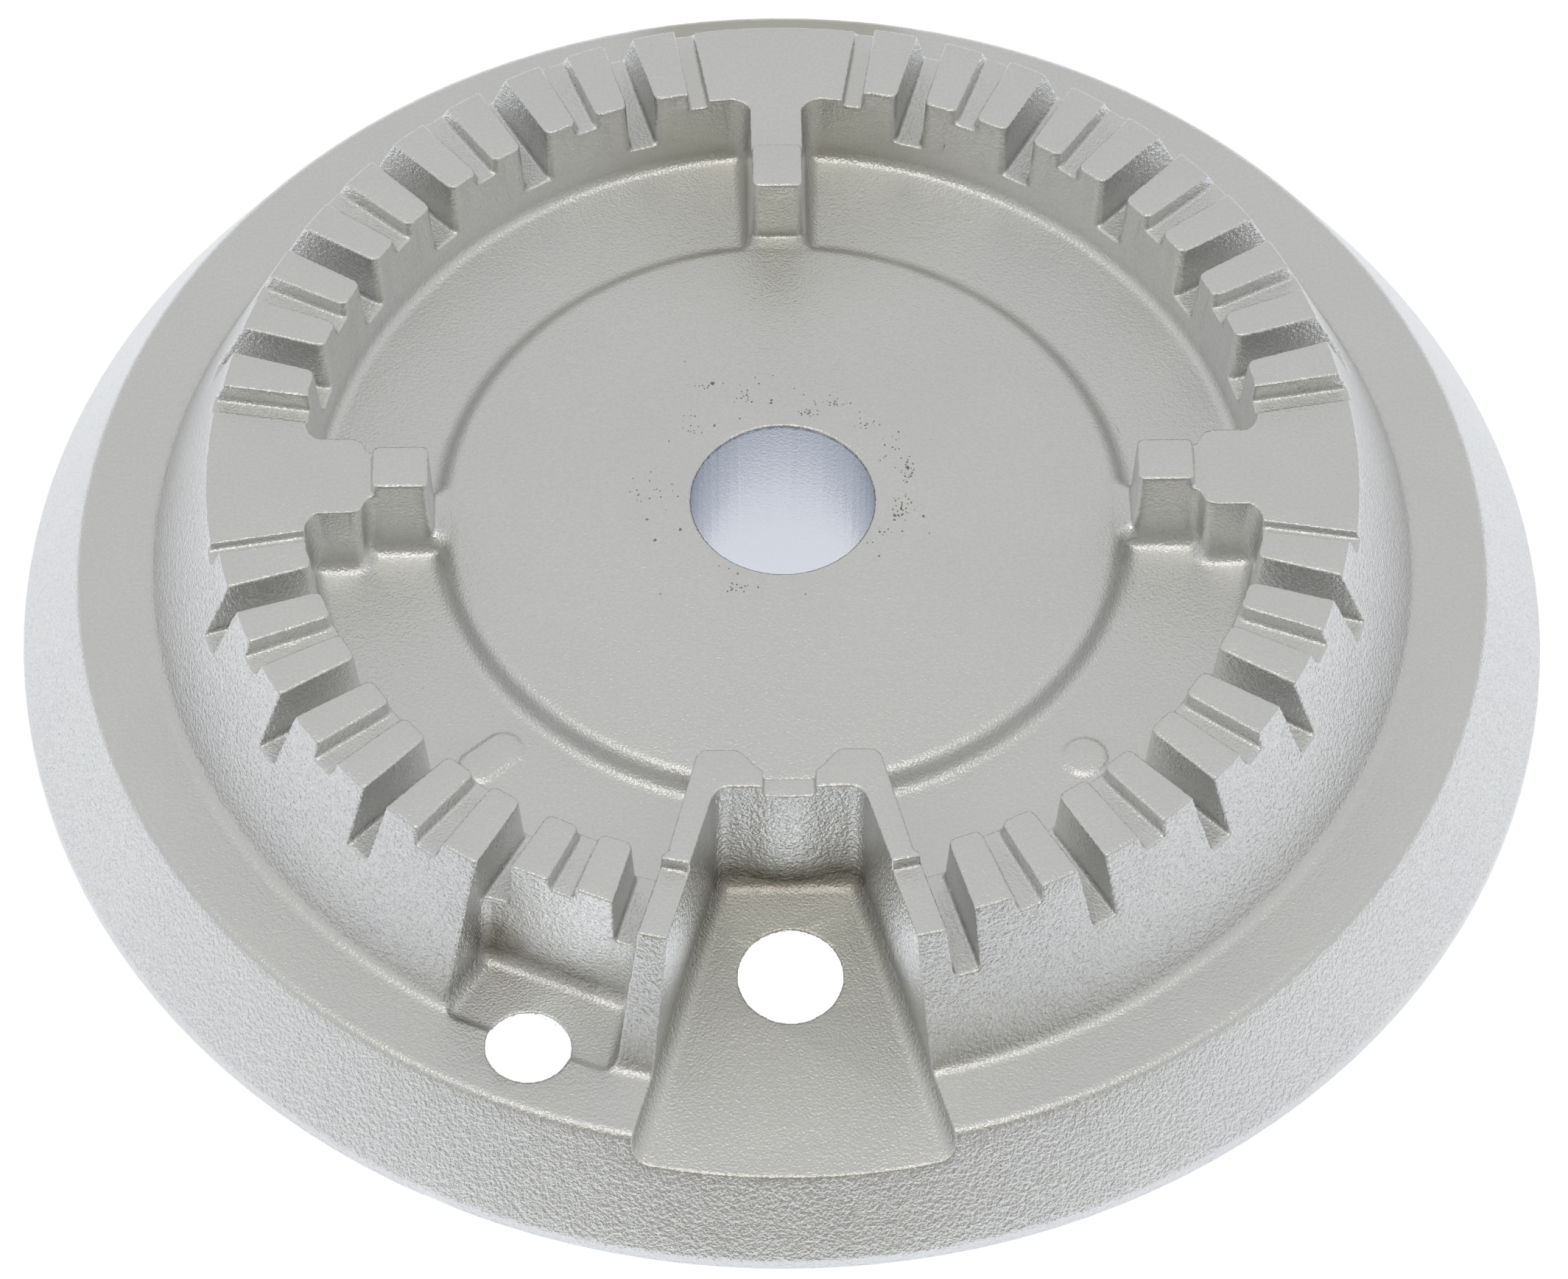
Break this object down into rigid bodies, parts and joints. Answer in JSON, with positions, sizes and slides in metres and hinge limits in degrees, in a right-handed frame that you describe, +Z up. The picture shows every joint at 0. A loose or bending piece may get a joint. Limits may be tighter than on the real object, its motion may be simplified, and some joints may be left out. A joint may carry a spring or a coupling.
{
  "type": "gas burner head",
  "caption": "Cast aluminium gas burner head: a skirted ring of slotted flame ports round a gas channel, with a bored middle cone and pockets for spark plug and flame sensor.",
  "frame": {"origin": "on the bore's axis at the lower end of the mixing tube, the lowest point of the part", "axes": "+Z up along the mixing tube's bore, towards the tooth tops; -Y towards the spark pocket; +X to the right when the spark pocket faces the viewer"},
  "size_m": [0.1, 0.1, 0.0218],
  "materials": {
    "cast_aluminium": "shot-blasted casting, left bare"
  },
  "bodies": {
    "root": {"burner_head": "cast_aluminium"}
  },
  "joints": []
}
